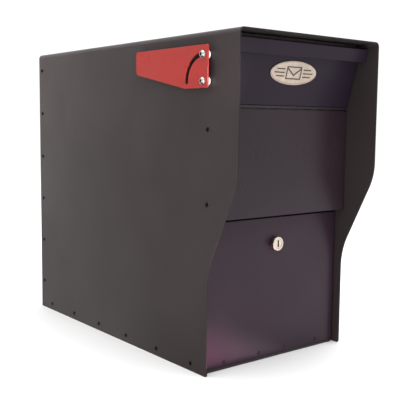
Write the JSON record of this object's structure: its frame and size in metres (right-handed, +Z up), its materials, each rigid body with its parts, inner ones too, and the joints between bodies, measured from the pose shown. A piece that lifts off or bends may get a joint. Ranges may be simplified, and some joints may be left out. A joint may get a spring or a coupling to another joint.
{
  "type": "parcel drop box",
  "caption": "Locking steel mail and parcel drop box with a leaning mail door over a chute, a lower access door with a cam lock, and a red signal flag on its side.",
  "frame": {"origin": "centre of the mounting hole rectangle, on the underside of the floor; the cabinet's two sides are equally far to -X and +X and its front and rear equally far to -Y and +Y", "axes": "+X across the front, to the right seen from the front; +Y from the front with the doors towards the rear panel; +Z up"},
  "size_m": [0.284, 0.545, 0.46],
  "materials": {
    "charcoal_coat": "fine-textured charcoal powder coat",
    "door_coat": "fine-textured charcoal powder coat, slightly purple",
    "rivet_coat": "black, semi-gloss",
    "hinge_coat": "charcoal powder coat, thin at the knuckles",
    "zinc_plate": "zinc plated",
    "bright_chrome": "bright chrome",
    "badge_silver": "satin silver with dark recessed lines",
    "flag_red": "satin red paint",
    "bumper_rubber": "matt black",
    "catch_plastic": "moulded black",
    "white_nylon": "white nylon, slightly soiled"
  },
  "bodies": {
    "cabinet": {"cabinet_wrap": "charcoal_coat", "rear_panel": "charcoal_coat", "floor_pan": "charcoal_coat", "middle_panel": "door_coat", "chute_tray": "charcoal_coat", "stop_angle": "charcoal_coat", "mail_bumpers": "bumper_rubber", "catch_housing": "catch_plastic", "catch_magnet": "zinc_plate", "mail_hinge_panel_leaf": "hinge_coat", "mail_hinge_pin": "zinc_plate", "access_hinge_floor_leaf": "hinge_coat", "access_hinge_pin": "zinc_plate", "floor_leaf_rivets": "zinc_plate", "flag_pivot_bolt": "bright_chrome", "flag_stop_bolt": "bright_chrome", "flag_spacers": "white_nylon", "flag_bushings": "zinc_plate", "flag_washers": "bright_chrome", "flag_inner_washers": "zinc_plate", "flag_lock_nuts": "zinc_plate", "baffle_brackets": "charcoal_coat", "rear_rivets_left": "rivet_coat", "rear_rivets_right": "rivet_coat", "floor_rivets_left": "rivet_coat", "floor_rivets_right": "rivet_coat", "side_screws_left": "rivet_coat", "side_screws_right": "rivet_coat", "side_nuts": "zinc_plate"},
    "mail_door_set": {"mail_door": "door_coat", "mail_hinge_door_leaf": "hinge_coat", "outgoing_clip": "zinc_plate", "badge_plate": "badge_silver", "badge_studs": "zinc_plate", "catch_strike": "zinc_plate"},
    "access_door_set": {"access_door": "door_coat", "access_hinge_door_leaf": "hinge_coat", "access_door_rivets": "door_coat", "lock_body": "bright_chrome", "lock_washer": "zinc_plate", "lock_nut": "zinc_plate"},
    "lock_core": {"lock_plug": "bright_chrome", "lock_cam": "zinc_plate", "lock_cam_screw": "zinc_plate"},
    "flag": {"flag_arm": "flag_red"},
    "baffle": {"baffle_flap": "charcoal_coat", "baffle_rod": "zinc_plate", "baffle_rod_caps": "zinc_plate"}
  },
  "joints": [
    {"name": "mail_door_hinge", "type": "hinge", "parent": "cabinet", "child": "mail_door_set", "pos_m": [0, -0.2181, 0.365], "axis": [1, 0, 0], "range_deg": [0, 80]},
    {"name": "access_door_hinge", "type": "hinge", "parent": "cabinet", "child": "access_door_set", "pos_m": [0, -0.2016, 0.0019], "axis": [1, 0, 0], "range_deg": [0, 90]},
    {"name": "lock_turn", "type": "hinge", "parent": "access_door_set", "child": "lock_core", "pos_m": [0, -0.2025, 0.1695], "axis": [0, -1, 0], "range_deg": [0, 90]},
    {"name": "flag_pivot", "type": "hinge", "parent": "cabinet", "child": "flag", "pos_m": [-0.1435, -0.2125, 0.3952], "axis": [1, 0, 0], "range_deg": [0, 90]},
    {"name": "baffle_hinge", "type": "hinge", "parent": "cabinet", "child": "baffle", "pos_m": [0, -0.1225, 0.446], "axis": [1, 0, 0], "range_deg": [0, 70]}
  ]
}
